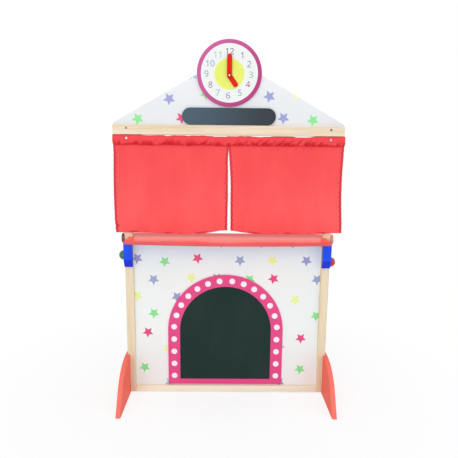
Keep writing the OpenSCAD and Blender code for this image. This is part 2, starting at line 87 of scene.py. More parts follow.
class Wire:
    """A socket of a node tree. Arithmetic adds Math nodes, and node() adds any other node."""

    def __init__(self, tree, socket):
        self.tree, self.socket = tree, socket

    def node(self, kind, settings=None, sockets=None, out=0):
        made = self.tree.nodes.new("ShaderNode" + kind)
        for name, value in (settings or {}).items():
            setattr(made, name, value)
        for name, value in (sockets or {}).items():
            if isinstance(value, Wire):
                self.tree.links.new(value.socket, made.inputs[name])
            else:
                made.inputs[name].default_value = value
        return Wire(self.tree, made.outputs[out])

    def math(self, operation, *values):
        return self.node("Math", {"operation": operation}, dict(enumerate(values)))

    def __add__(self, other):
        return self.math("ADD", self, other)

    __radd__ = __add__

    def __sub__(self, other):
        return self.math("SUBTRACT", self, other)

    def __rsub__(self, other):
        return self.math("SUBTRACT", other, self)

    def __mul__(self, other):
        return self.math("MULTIPLY", self, other)

    __rmul__ = __mul__

    def larger(self, other):
        return self.math("MAXIMUM", self, other)

    def ease(self, start, end):
        """0 before start, 1 after end, and smooth between."""
        return self.node(
            "MapRange",
            {"interpolation_type": "SMOOTHSTEP"},
            {"Value": self, "From Min": start, "From Max": end},
        )

    def mix(self, low, high):
        """The colour low where this is 0, high where it is 1."""
        return self.node("Mix", {"data_type": "RGBA"}, {0: self, 6: low, 7: high}, out=2)

    def axis(self, i):
        """One of these coordinates: 0 for x, 1 for y, 2 for z."""
        return self.node("SeparateXYZ", None, {0: self}, out=i)

    def length(self):
        return self.node("VectorMath", {"operation": "LENGTH"}, {0: self}, out="Value")

    def times(self, x, y, z):
        """These coordinates, each multiplied by its own number."""
        return self.node("VectorMath", {"operation": "MULTIPLY"}, {0: self, 1: (x, y, z)})

    def cloud(self, scale, detail=2.0, roughness=0.5):
        """Soft noise round 0.5 at these coordinates."""
        return self.node(
            "TexNoise", None, {"Vector": self, "Scale": scale, "Detail": detail, "Roughness": roughness}
        )

    def bump(self, distance, strength):
        """The surface normal of this height."""
        return self.node("Bump", None, {"Height": self, "Distance": distance, "Strength": strength})


def new_finish(name, fixed):
    """A new material with the shader's constant values, and its Object coordinates."""
    made = bpy.data.materials.new(name)
    made.use_nodes = True
    for socket, value in fixed.items():
        made.node_tree.nodes["Principled BSDF"].inputs[socket].default_value = value
    tree = made.node_tree
    return made, Wire(tree, tree.nodes.new("ShaderNodeTexCoord").outputs["Object"])


def wire_up(made, wires):
    """Joins wires to sockets of a material's shader."""
    shader = made.node_tree.nodes["Principled BSDF"]
    for socket, wire in wires.items():
        made.node_tree.links.new(wire.socket, shader.inputs[socket])


def seen_as_white(tree):
    """1 for rays that show the background, straight, in a gloss or through glass."""
    kinds = tree.nodes.new("ShaderNodeLightPath").outputs
    straight, glossy, through = (
        Wire(tree, kinds[word]) for word in ("Is Camera Ray", "Is Glossy Ray", "Is Transmission Ray")
    )
    return straight.larger(glossy).larger(through)


ROOM_LIGHT = 0.70  # how strongly the room lights things, though it is seen as full white
FLOOR_HALF = 30.0
FADE_FROM, FADE_TO = 0.45, 1.1  # the floor turns to the room's white between these distances
NEAR_GLOW = 0.8  # the share of that white in the floor at the feet
LAMP_AIM = Vector((0, 0, 0.6))

world = bpy.data.worlds.new("studio")
scene.world = world
world.use_nodes = True
room = world.node_tree.nodes["Background"]
room.inputs["Color"].default_value = hue(255, 255, 255)
white_seen = seen_as_white(world.node_tree)
world.node_tree.links.new((white_seen * (1 - ROOM_LIGHT) + ROOM_LIGHT).socket, room.inputs["Strength"])

floor_mesh = bpy.data.meshes.new("floor")
shape = bmesh.new()
bmesh.ops.create_grid(shape, x_segments=1, y_segments=1, size=FLOOR_HALF)
shape.to_mesh(floor_mesh)
shape.free()
floor = bpy.data.objects.new("floor", floor_mesh)
scene.collection.objects.link(floor)
floor_finish, floor_place = new_finish("floor_white", {"Roughness": 0.9, "Specular IOR Level": 0.1})
floor_tone = floor_place.cloud(1.5).mix(hue(248, 248, 249), hue(251, 251, 251))
wire_up(floor_finish, {"Base Color": floor_tone})
tree = floor_finish.node_tree
far = floor_place.length().ease(FADE_FROM, FADE_TO)
white_share = (far * (1 - NEAR_GLOW) + NEAR_GLOW) * seen_as_white(tree)
glow = floor_place.node("Emission", None, {"Color": hue(255, 255, 255)})
paint = Wire(tree, tree.nodes["Principled BSDF"].outputs[0])
blend = floor_place.node("MixShader", None, {0: white_share, 1: paint, 2: glow})
tree.links.new(blend.socket, tree.nodes["Material Output"].inputs["Surface"])
floor_mesh.materials.append(floor_finish)

for name, place, size, power in (
    ("front_lamp", (-0.7, -2.9, 1.2), 2.4, 25.0),
    ("side_lamp", (2.4, -1.2, 1.4), 1.8, 8.0),
    ("top_lamp", (0.0, -0.5, 2.7), 1.6, 13.0),
):
    lamp = bpy.data.lights.new(name, "AREA")
    lamp.size, lamp.energy = size, power
    lamp_object = bpy.data.objects.new(name, lamp)
    lamp_object.location = place
    lamp_object.rotation_euler = (LAMP_AIM - Vector(place)).to_track_quat("-Z", "Y").to_euler()
    scene.collection.objects.link(lamp_object)


# Stiles, posts, rails and the header bar are planed pine under a thin clear varnish.
# The dowels that hold the rails, and the curtains' rod, are turned beech.
# The growth rings run along each stick, and drift a little from end to end.
GRAIN_STRETCH = 0.06  # how slowly the grain changes along a stick
HEART_SIDE, HEART_DEPTH = -0.07, 0.055  # the middle of the tree's rings, outside the stick


def wood(name, grain, pale, amber, ring=0.0042, contrast=1.0):
    """Wood with its grain along x or z, and growth rings of that width."""
    made, place = new_finish(name, {"Coat Roughness": 0.35, "Coat Weight": 0.12})
    upright = grain == "z"
    side, depth = (place.axis(0), place.axis(1)) if upright else (place.axis(1), place.axis(2))
    along = place.times(1.0, 1.0, GRAIN_STRETCH) if upright else place.times(GRAIN_STRETCH, 1.0, 1.0)
    drift = along.cloud(9.0, 3.0, 0.55)
    side, depth = side - HEART_SIDE, depth - HEART_DEPTH
    heart = side * side + depth * depth
    rings = heart.math("SQRT", heart) * (1 / ring) + drift * 7.0
    phase = rings.math("FRACT", rings)
    late = phase.ease(0.25, 0.92) * (1 - phase.ease(0.94, 1.0))
    fibre = along.cloud(620.0, 2.0, 0.6)
    streak = along.cloud(38.0, 3.0, 0.6)
    share = (late * 0.45 + (streak - 0.5) * 0.9 + (fibre - 0.5) * 0.22 + 0.14) * contrast
    wire_up(
        made,
        {
            "Base Color": share.ease(-0.1, 1.0).mix(pale, amber),
            "Roughness": fibre * 0.2 + 0.42,
            "Normal": (fibre * 0.6 + late * 0.4).bump(0.00012, 0.6),
        },
    )
    return made


def dress(finish, *names):
    """Gives CAD nodes a finish."""
    for name in names:
        nodes[name].material_slots[0].material = finish


pine_up = wood("pine_upright", "z", hue(236, 227, 202), hue(212, 182, 136), contrast=1.1)
# The upper posts get a warmer, pinker pine than the stiles: a painted reflection of the coral shelf below
# them.
pine_painted_shelf_glow = wood("pine_painted_shelf_glow", "z", hue(248, 226, 198), hue(228, 190, 148), contrast=1.1)
pine_across = wood("pine_across", "x", hue(243, 234, 216), hue(206, 176, 134), contrast=1.3)
# The bottom rail gets a paler pine than the top rail: painted light.
pine_painted_lighter = wood("pine_painted_lighter", "x", hue(246, 240, 222), hue(226, 206, 172))
beech = wood("beech_turned", "x", hue(234, 208, 168), hue(208, 168, 120), ring=0.0028, contrast=0.8)
dress(pine_up, "left_stile", "right_stile")
dress(pine_painted_shelf_glow, "left_upper_post", "right_upper_post")
dress(pine_across, "top_rail", "header_bar")
dress(pine_painted_lighter, "bottom_rail")
dress(beech, "rail_dowels", "curtain_rod")


# The panel sits in grooves of the lower frame, and the gable is screwed on behind the header bar.
# Both are thin board with a smooth white face, which has a faint cool drift and an eggshell texture.
# The panel turns a little bluer and less red towards its top: a painted cool shade under the shelf, which
# also
# cancels the coral light that the shelf throws on it. The gable's white is painted darker than the
# panel's:
# painted shade against the stronger lamp light on it. It turns a shade lighter towards its top.
def white_board(name, low, high, top, rise):
    """White that drifts between low and high, and turns to top between the two heights of the rise."""
    made, place = new_finish(
        name, {"Coat Roughness": 0.3, "Coat Weight": 0.05, "Specular IOR Level": 0.2}
    )
    drift = place.cloud(5.0, 3.0)
    wire_up(
        made,
        {
            "Base Color": place.axis(2).ease(*rise).mix(drift.ease(0.3, 0.7).mix(low, high), top),
            "Roughness": drift * 0.1 + 0.36,
            "Normal": place.cloud(700.0, 1.0).bump(0.00004, 0.5),
        },
    )
    return made


# The top colour is the painted cool shade under the shelf.
panel_white = white_board(
    "panel_white", hue(233, 239, 238), hue(238, 242, 240), top=hue(214, 241, 255), rise=(0.42, 0.58)
)
# A darker white than the panel's: painted shade.
gable_white = white_board(
    "gable_white", hue(220, 223, 227), hue(224, 227, 230), top=hue(226, 229, 232), rise=(1.0, 1.1)
)
dress(panel_white, "front_panel")
dress(gable_white, "gable_board")


# The stars are printed on the white boards in six inks, point down and a little askew.
# Each board's print is one thin layer, cut off where the board meets a stile, a rail or the slope.
PANEL_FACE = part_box("front_panel")[0].y
GABLE_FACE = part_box("gable_board")[0].y
INK, INK_ROUGH = 0.00015, 0.42
STAR_R, STAR_WAIST, STAR_EASE = 0.0205, 0.47, 0.0009
INK_HUES = {
    "green": hue(132, 225, 138),
    "lilac": hue(148, 152, 204),
    "pink": hue(226, 58, 122),
    "yellow": hue(232, 243, 150),
    "blue": hue(148, 196, 214),
    "hyacinth": hue(150, 164, 208),
}
INK_ORDER = list(INK_HUES)
TO_FRONT = Matrix.Rotation(math.pi / 2, 4, "X")  # stands flat shapes up, facing the stage's front


def printed(name, colour):
    """Flat ink with the slight mottle of a screen print."""
    made, place = new_finish(name, {"Roughness": INK_ROUGH})
    mottle = place.cloud(160.0, 3.0).ease(0.25, 0.75)
    thin = tuple(c * 0.93 + 0.03 for c in colour[:3]) + (1.0,)
    wire_up(
        made,
        {"Base Color": mottle.mix(thin, colour), "Normal": place.cloud(900.0).bump(0.00003, 0.4)},
    )
    return made


def lay_ink(shape):
    """Gives flat print its thickness, towards the front."""
    grown = bmesh.ops.extrude_face_region(shape, geom=shape.faces[:])["geom"]
    front = [part for part in grown if isinstance(part, bmesh.types.BMVert)]
    bmesh.ops.translate(shape, vec=(0, -INK, 0), verts=front)
    bmesh.ops.recalc_face_normals(shape, faces=shape.faces)


def new_piece(name, shape, body, slot, *finishes):
    """Turns a bmesh into a piece that rides on a body."""
    mesh = bpy.data.meshes.new(name)
    shape.to_mesh(mesh)
    shape.free()
    for finish in finishes:
        mesh.materials.append(finish)
    piece = bpy.data.objects.new(name, mesh)
    scene.collection.objects.link(piece)
    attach(piece, body)
    return piece


def add_stars(shape, face_y, stars, walls):
    """Prints stars, each cut by the walls that it would cross: (point, outward direction)."""
    for ink, x, z, lean in stars:
        star = bmesh.new()
        ring = bmesh.ops.create_circle(star, segments=10, radius=STAR_R, cap_ends=True)["verts"]
        for waist in ring[1::2]:
            waist.co *= STAR_WAIST
        bmesh.ops.bevel(
            star, geom=star.verts[:], affect="VERTICES", offset=STAR_EASE, segments=2, profile=0.5,
            material=-1,
        )
        turn = (
            Matrix.Translation((x / 1000, face_y, z / 1000))
            @ TO_FRONT
            @ Matrix.Rotation(math.pi + math.radians(lean), 4, "Z")
        )
        bmesh.ops.transform(star, matrix=turn, verts=star.verts)
        for point, outward in walls:
            bmesh.ops.bisect_plane(
                star, geom=star.verts[:] + star.edges[:] + star.faces[:],
                plane_co=point, plane_no=outward, clear_outer=True,
            )
        lay_ink(star)
        for face in star.faces:
            face.material_index = INK_ORDER.index(ink)
        part = bpy.data.meshes.new("star")
        star.to_mesh(part)
        star.free()
        shape.from_mesh(part)
        bpy.data.meshes.remove(part)


STILE_IN, RAIL_TOP, SHELF_LOW = 0.3218, 0.0262, 0.5532
PANEL_WALLS = (
    (Vector((STILE_IN, 0, 0)), Vector((1, 0, 0))),
    (Vector((-STILE_IN, 0, 0)), Vector((-1, 0, 0))),
    (Vector((0, 0, RAIL_TOP)), Vector((0, 0, -1))),
    (Vector((0, 0, SHELF_LOW)), Vector((0, 0, 1))),
)
# Each star: its ink, its middle's x and z in millimetres, and its lean in degrees.
PANEL_STARS = (
    ("lilac", -310, 489, -8), ("green", -216, 479, -6), ("pink", -103, 491, 8), ("hyacinth", 43, 484, 0),
    ("yellow", 155, 485, 0), ("lilac", 272, 485, 0), ("hyacinth", -255, 415, 0), ("yellow", -125, 422, 4),
    ("lilac", -37, 421, 2), ("green", 77, 417, 0), ("pink", 160, 420, -12), ("hyacinth", 311, 418, 0),
    ("yellow", -313, 355, 0), ("lilac", -175, 353, 0), ("yellow", 237, 344, 3), ("green", -256, 293, -4),
    ("green", 313, 286, -4), ("pink", -278, 223, -5), ("pink", 262, 203, 0), ("yellow", -208, 161, 0),
    ("blue", 188, 173, 5), ("green", -292, 91, -6), ("green", 263, 86, -6), ("blue", -202, 34, 4),
    ("lilac", 190, 36, -6), ("hyacinth", -22, 547, 0), ("lilac", 114, 548, 4), ("lilac", 224, 548, -3),
)
shape = bmesh.new()
add_stars(shape, PANEL_FACE, PANEL_STARS, PANEL_WALLS)
ink_finishes = [printed("ink_" + name, colour) for name, colour in INK_HUES.items()]
new_piece("panel_star_print", shape, "frame", "white_board", *ink_finishes)

GABLE_END = 0.0064  # the height of the gable's short upright ends above the bar
BAR_CLEAR = 0.0002
bar_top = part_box("header_bar")[1].z
gable_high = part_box("gable_board")[1]
slope = Vector((gable_high.z - bar_top - GABLE_END, 0, gable_high.x)).normalized()
apex = Vector((0, 0, gable_high.z))
GABLE_WALLS = (
    (Vector((0, 0, bar_top + BAR_CLEAR)), Vector((0, 0, -1))),
    (apex, slope),
    (apex, Vector((-slope.x, 0, slope.z))),
)
GABLE_STARS = (
    ("lilac", -192, 1017, -5), ("green", -74, 1034, -4), ("lilac", 129, 1028, -11),
    ("yellow", 216, 1038, 0), ("pink", -153, 958, 3), ("lilac", 176, 961, -3), ("green", 272, 955, -6),
    ("blue", -115, 1094, 36), ("green", -294, 954, -8),
)
shape = bmesh.new()
add_stars(shape, GABLE_FACE, GABLE_STARS, GABLE_WALLS)
new_piece("gable_star_print", shape, "frame", "white_board", *ink_finishes)


# The arch trim is a hot pink board glued to the panel round the chalkboard.
# Printed white dots follow the middle of its band, up one side, over the crown and down the other.
def darker(colour, share):
    return tuple(c * share for c in colour[:3]) + (1.0,)


def lacquer(place, roughness):
    """The sheen of a sprayed coat and its faint orange peel."""
    return {
        "Roughness": place.cloud(60.0) * 0.12 + (roughness - 0.06),
        "Normal": place.cloud(520.0).bump(0.00007, 0.5),
    }


def satin(name, colour, roughness, coat, deep=0.9, shine=0.3):
    """Sprayed paint with a slow drift in shade, down to the deep share of its colour."""
    made, place = new_finish(
        name, {"Coat Roughness": 0.12, "Coat Weight": coat, "Specular IOR Level": shine}
    )
    drift = place.cloud(14.0, 3.0).ease(0.25, 0.75)
    wire_up(made, {"Base Color": drift.mix(darker(colour, deep), colour), **lacquer(place, roughness)})
    return made


dress(satin("pink_board", hue(228, 70, 135), roughness=0.42, coat=0.0, deep=0.95), "arch_trim")

trim_low, trim_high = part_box("arch_trim")
TRIM_MID = (trim_low.x + trim_high.x) / 2
TRIM_HALF = (trim_high.x - trim_low.x) / 2
SPRING_Z = trim_high.z - TRIM_HALF
DOT_R, DOT_INSET = 0.0101, 0.0213
BAND_MID = TRIM_HALF - DOT_INSET
FIRST_DOT, DOT_STEP, SIDE_DOTS = 0.0322, 0.0458, 5
ARCH_START, ARCH_STEP, ARCH_DOTS = 17.8, 13.05, 6  # degrees above the arch's springing
dots = [(BAND_MID, trim_low.z + FIRST_DOT + DOT_STEP * i) for i in range(SIDE_DOTS)]
for i in range(ARCH_DOTS):
    angle = math.radians(ARCH_START + ARCH_STEP * i)
    dots.append((BAND_MID * math.cos(angle), SPRING_Z + BAND_MID * math.sin(angle)))
shape = bmesh.new()
for side in (-1, 1):
    for x, z in dots:
        spot = Matrix.Translation((TRIM_MID + side * x, trim_low.y, z))
        bmesh.ops.create_circle(shape, segments=40, radius=DOT_R, cap_ends=True, matrix=spot @ TO_FRONT)
lay_ink(shape)
new_piece("arch_trim_dots", shape, "frame", "pink_board", printed("ink_white", hue(246, 238, 246)))


# The chalkboard is a thin sheet with a matt dark green coat, wiped but not quite clean.
# Slow arcs of chalk haze and a fine tooth are what a hand's wiping leaves.
chalk, place = new_finish("chalkboard_coat", {"Specular IOR Level": 0.15})
wiped = place.times(1.0, 1.0, 0.45).cloud(9.0, 4.0, 0.6).ease(0.35, 0.75)
grit = place.cloud(420.0, 3.0, 0.7)
haze = (wiped * 0.75 + (grit - 0.5) * 0.25).ease(0.0, 1.0)
wire_up(
    chalk,
    {
        "Base Color": haze.mix(hue(27, 48, 45), hue(38, 54, 52)),
        "Roughness": grit * 0.15 + 0.62,
        "Normal": grit.bump(0.00006, 0.6),
    },
)
dress(chalk, "chalkboard")


# The feet are half-round boards with a housing for the stile, each screwed on from outside.
# Their coral lacquer is thick and satin, so only a soft orange peel shows, and no grain.
coral = satin("coral_paint", hue(248, 120, 105), roughness=0.4, coat=0.1, deep=0.96, shine=0.0)
dress(coral, "left_foot", "right_foot")


# The shelf is a board with a bowed front, notched round the posts, and lies on the brackets.
# Its lacquer is the feet's in a redder coral. The top is rubbed to a deeper gloss in front of the
# curtains, and behind them its colour is painted darker: a painted shadow of the curtains. The front
# edge is painted darker and pinker than the top, which is painted a lighter orange: painted shade and top
# light.
SHELF_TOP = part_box("shelf")[1].z
LIT_RUB_FROM, LIT_RUB_TO = -0.010, 0.030
shelf_coral, place = new_finish("shelf_coral", {"Coat Roughness": 0.14, "Specular IOR Level": 0.1})
on_top = place.axis(2).ease(SHELF_TOP - 0.0015, SHELF_TOP - 0.0005)
# 1 in front of the curtains, rubbed glossy and lit; 0 behind them, where the curtains' shadow is painted.
rubbed_and_lit = 1 - place.axis(1).ease(LIT_RUB_FROM, LIT_RUB_TO)
drift = place.times(0.25, 1.0, 1.0).cloud(30.0, 3.0).ease(0.3, 0.7)
# The edge is painted darker than the top: painted shade on the edge, painted light on the top.
edge = drift.mix(hue(216, 84, 90), hue(224, 90, 94))
board = rubbed_and_lit.mix(hue(242, 66, 58), drift.mix(hue(246, 80, 62), hue(250, 92, 74)))
wire_up(
    shelf_coral,
    {"Base Color": on_top.mix(edge, board), "Coat Weight": rubbed_and_lit * 0.25 + 0.03, **lacquer(place, 0.38)},
)
dress(shelf_coral, "shelf")


# The brackets are solid blocks in bright blue lacquer, screwed to the stiles under the shelf's ends.
# Their cut-back feet are painted darker than the rest: painted shade on the faces that turn down.
CUT_TALL = 0.028
CUT_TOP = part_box("left_bracket")[0].z + CUT_TALL
blue, place = new_finish(
    "blue_paint", {"Coat Roughness": 0.12, "Coat Weight": 0.2, "Specular IOR Level": 0.1}
)
drift = place.cloud(14.0, 3.0).ease(0.25, 0.75)
# Below the cut's top the blue is painted darker: painted shade.
lit_above_cut = place.axis(2).ease(CUT_TOP - 0.001, CUT_TOP + 0.001)
tone = lit_above_cut.mix(hue(8, 46, 212), drift.mix(hue(14, 72, 236), hue(24, 80, 248)))
wire_up(blue, {"Base Color": tone, **lacquer(place, 0.32)})
dress(blue, "left_bracket", "right_bracket")


# Round caps screw on to the bolts in the shelf's ends, and round knobs clamp the half laps under them.
# They are turned wood: a brown cap at the left and a pale orange one at the right, a green and a crimson
# knob.
caps, place = new_finish("cap_paint", {"Coat Roughness": 0.2, "Coat Weight": 0.3})
mottle = place.cloud(60.0, 3.0)
brown = mottle.mix(hue(112, 46, 36), hue(126, 54, 42))
orange = mottle.mix(hue(222, 140, 112), hue(232, 150, 122))
wire_up(
    caps,
    {
        "Base Color": place.axis(0).ease(-0.01, 0.01).mix(brown, orange),
        "Roughness": mottle * 0.1 + 0.3,
        "Normal": place.cloud(520.0).bump(0.00006, 0.5),
    },
)
dress(caps, "shelf_end_caps")
dress(satin("green_paint", hue(46, 112, 80), roughness=0.28, coat=0.6), "left_knob")
dress(satin("crimson_paint", hue(188, 22, 46), roughness=0.28, coat=0.6), "right_knob")


# Screws, bolts and washers are plated steel, and the knobs' inserts are brass.
# Each plating has a fine random grain, and the header's screws are coloured dark grey.
def metal(name, colour, roughness):
    """Metal whose grain shows in its tone, its sheen and its surface."""
    made, place = new_finish(name, {"Metallic": 1.0})
    grain = place.cloud(900.0, 3.0, 0.65)
    wire_up(
        made,
        {
            "Base Color": grain.ease(0.3, 0.7).mix(darker(colour, 0.8), colour),
            "Roughness": grain * 0.2 + (roughness - 0.1),
            "Normal": grain.bump(0.00003, 0.5),
        },
    )
    return made


zinc = metal("zinc_steel", hue(196, 200, 204), 0.34)
dress(zinc, "foot_screws", "shelf_end_bolts", "bracket_screws", "clamp_studs", "clamp_washers")
dress(zinc, "clock_screws", "sign_screws", "pin_nut", "rod_screws")
dress(metal("bright_steel", hue(208, 210, 213), 0.3), "pin_washers")
dress(metal("dark_steel", hue(126, 126, 132), 0.38), "header_screws")
dress(metal("insert_brass", hue(214, 184, 112), 0.3), "left_knob_insert", "right_knob_insert")


# The clock is a round board screwed on from behind, magenta, with a printed white dial and yellow sun.
# The print leaves a clear spot under the hands, where the pin's washer turns on the board.
# The pin's steel head is domed and polished. Its colour is painted bright in the middle and dark brown
# towards
# its rim: a painted highlight and painted shade.
clock_low, clock_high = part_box("clock_board")
CLOCK_FACE = clock_low.y
CLOCK_Z = (clock_low.z + clock_high.z) / 2
CLOCK_R = (clock_high.x - clock_low.x) / 2
PIN_Z = sum(p.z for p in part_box("clock_pin")) / 2
PIN_BRIGHT, PIN_DARK = 0.0019, 0.0027
RIM = 0.0126
SPOT_R = 0.0055
SUN_R, SUN_DROP, SUN_FADE = 0.0505, 0.0026, 0.0050
DIAL_INK = hue(225, 230, 229)


def from_middle(place, z):
    """How far a place is from the line through the clock at that height."""
    away = place.node("VectorMath", {"operation": "SUBTRACT"}, {0: place, 1: (0, 0, z)})
    return away.times(1, 0, 1).length()


magenta, place = new_finish("clock_magenta", {"Specular IOR Level": 0.15})
# The magenta is painted lighter at the upper left and darker at the lower right: painted light and shade.
shade_to_lower_right = (place.axis(0) * 0.8 - (place.axis(2) - CLOCK_Z) * 0.6).ease(-CLOCK_R, CLOCK_R)
tone = (shade_to_lower_right * 0.8 + place.cloud(30.0, 3.0) * 0.2).mix(hue(197, 92, 153), hue(172, 56, 116))
wire_up(
    magenta,
    {
        "Base Color": tone,
        "Roughness": place.cloud(50.0) * 0.1 + 0.32,
        "Normal": place.cloud(520.0).bump(0.00006, 0.5),
    },
)
dress(magenta, "clock_board")

pin_steel, place = new_finish("pin_steel", {"Metallic": 1.0})
grain = place.cloud(900.0, 3.0, 0.65)
# Bright in the middle, dark at the rim: a painted highlight and painted shade.
rim_shade = from_middle(place, PIN_Z).ease(PIN_BRIGHT, PIN_DARK)
wire_up(
    pin_steel,
    {
        "Base Color": rim_shade.mix(hue(214, 214, 214), hue(96, 40, 30)),
        "Roughness": grain * 0.2 + 0.2,
        "Normal": grain.bump(0.00003, 0.5),
    },
)
dress(pin_steel, "clock_pin")


def ring_print(outer, z, front):
    """A printed disc with the pin's clear spot: its radius, its middle's height and its face's y."""
    shape = bmesh.new()
    for radius, height in ((outer, z), (SPOT_R, PIN_Z)):
        spot = Matrix.Translation((0, front, height))
        bmesh.ops.create_circle(shape, segments=96, radius=radius, matrix=spot @ TO_FRONT)
    bmesh.ops.bridge_loops(shape, edges=shape.edges[:])
    lay_ink(shape)
    return shape


dial = ring_print(CLOCK_R - RIM, CLOCK_Z, CLOCK_FACE)
new_piece("clock_dial_print", dial, "frame", "clock_print", printed("ink_dial", DIAL_INK))
sun_ink, place = new_finish("ink_sun", {"Roughness": INK_ROUGH})
mottle = place.cloud(60.0, 3.0).ease(0.25, 0.75).mix(hue(215, 226, 90), hue(222, 229, 101))
faded = from_middle(place, CLOCK_Z - SUN_DROP).ease(SUN_R - SUN_FADE, SUN_R)
wire_up(
    sun_ink,
    {"Base Color": faded.mix(mottle, DIAL_INK), "Normal": place.cloud(900.0).bump(0.00003, 0.4)},
)
sun = ring_print(SUN_R, CLOCK_Z - SUN_DROP, CLOCK_FACE - INK)
new_piece("clock_sun_print", sun, "frame", "clock_print", sun_ink)

NUMBER_SIZE = 0.0262
# From this character on, the built-in font has a second set of plain digits, whose 1 has a flag.
FLAGGED_ZERO = 0x1D7E2
# Each number: its place from the clock's middle in millimetres, and its ink.
NUMBERS = {
    12: (0.6, 66.0, hue(76, 76, 96)),
    1: (39.3, 54.2, hue(88, 98, 128)),
    2: (62.0, 27.9, hue(108, 116, 184)),
    3: (68.4, -4.0, hue(116, 182, 122)),
    4: (59.4, -33.4, hue(150, 44, 100)),
    5: (33.9, -59.2, hue(100, 134, 166)),
    6: (-3.5, -68.6, hue(96, 120, 158)),
    7: (-36.7, -59.9, hue(112, 164, 152)),
    8: (-60.0, -35.4, hue(124, 66, 104)),
    9: (-72.7, -2.0, hue(130, 130, 168)),
    10: (-60.7, 29.0, hue(110, 130, 166)),
    11: (-38.0, 55.3, hue(140, 190, 154)),
}
shape = bmesh.new()
number_finishes = []
for hour, (x, z, colour) in NUMBERS.items():
    text = bpy.data.curves.new("number", "FONT")
    text.body = "".join(chr(FLAGGED_ZERO + int(digit)) for digit in str(hour))
    text.size = NUMBER_SIZE
    text.align_x, text.align_y = "CENTER", "CENTER"
    text.resolution_u = 4
    text.extrude = INK / 2
    holder = bpy.data.objects.new("number", text)
    flat = bpy.data.meshes.new_from_object(holder)
    centre = (Vector(holder.bound_box[0]) + Vector(holder.bound_box[6])) / 2
    spot = Matrix.Translation((x / 1000, CLOCK_FACE - 1.5 * INK, CLOCK_Z + z / 1000))
    flat.transform(spot @ TO_FRONT @ Matrix.Translation(-centre))
    before = len(shape.faces)
    shape.from_mesh(flat)
    shape.faces.ensure_lookup_table()
    for face in shape.faces[before:]:
        face.material_index = len(number_finishes)
    number_finishes.append(printed(f"ink_number_{hour}", colour))
    bpy.data.objects.remove(holder)
    bpy.data.curves.remove(text)
    bpy.data.meshes.remove(flat)
bmesh.ops.remove_doubles(shape, verts=shape.verts, dist=1e-6)
new_piece("clock_numbers", shape, "frame", "clock_print", *number_finishes)


# Both hands are red plastic plates that turn on the pin.
# The sign is a round-ended wooden plate in slate paint, screwed on from behind the gable.
# Their faces are smooth and only half glossy.
hand_red = satin("red_plastic", hue(216, 34, 20), roughness=0.4, coat=0.0, deep=0.93, shine=0.08)
dress(hand_red, "minute_hand", "hour_hand")
SIGN_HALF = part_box("sign_plate")[1].x
slate, place = new_finish("slate_paint", {"Specular IOR Level": 0.15})
# The slate is painted lighter and bluer at the left and darker at the right: a painted reflection of a
# light at the left.
across = place.axis(0).ease(-SIGN_HALF, SIGN_HALF)
tone = (across * 0.85 + place.cloud(20.0, 3.0) * 0.15).mix(hue(72, 92, 106), hue(49, 55, 60))
wire_up(
    slate,
    {
        "Base Color": tone,
        "Roughness": place.cloud(50.0) * 0.12 + 0.45,
        "Normal": place.cloud(520.0).bump(0.00006, 0.5),
    },
)
dress(slate, "sign_plate")


# Each curtain is one sheet of red cloth: a casing round the rod, a seam under it, and a flat drop.
# The casing is looser than the rod, so it lies in slanted tucks down to its stitched seam.
# The leading edge is a hem of its own on the slide, and the rest hangs from the frame.
rod_low, rod_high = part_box("curtain_rod")
ROD_Y, ROD_Z = (rod_low.y + rod_high.y) / 2, (rod_low.z + rod_high.z) / 2
BAR_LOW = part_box("header_bar")[0].z
SCREW_X, SCREW_HALF = 0.330, 0.020  # where the rod's screw pinches the casing flat
CLOTH = 0.0007  # the sheet's thickness
SEAM_Z = 0.8715
SPLIT = 0.01465  # the leading hem's piece ends here, from the middle
HEM, FOOT_HEM = 0.0075, 0.005
DROP_ROWS, CASING_ROWS = 84, 44
DROP_COLUMNS, HEM_COLUMNS = 240, 10
ROW_CROWD = 0.5  # how much closer the drop's rows stand at its foot and its seam

# Outlines in millimetres: each curtain's foot (x, z) and outer edge (z, x), left -1 and right 1,
# and the gap between the curtains (z, its half width or its middle).
FOOT_LINE = {
    -1: (
        (5, 592), (27, 590.7), (60, 584.4), (94, 580.4), (127, 579.2), (194, 579.3), (261, 582.2),
        (377, 582.4),
    ),
    1: (
        (5, 591.6), (12, 591.3), (40, 586.7), (74, 582.9), (108, 580.3), (209, 580.8), (276, 581.6),
        (315, 583.2), (350, 585.2), (382, 586),
    ),
}
OUTER_LINE = {
    -1: ((585, 374.3), (604, 376.8), (688, 378.2), (786, 377), (835, 375.4), (905, 375.3)),
    1: ((585, 381.9), (610, 381.8), (694, 376.8), (777, 375.2), (842, 376.8), (905, 377.4)),
}
SLIT_HALF = (
    (585, 4.9), (640, 4.7), (700, 3.9), (735, 4.1), (762, 3.8), (788, 3.1), (825, 2.0), (838, 1.3),
    (856, 0.15), (905, 0.05),
)
SLIT_MIDDLE = ((585, 3), (640, 3), (730, 3.2), (788, 2), (825, 0.4), (905, 0))
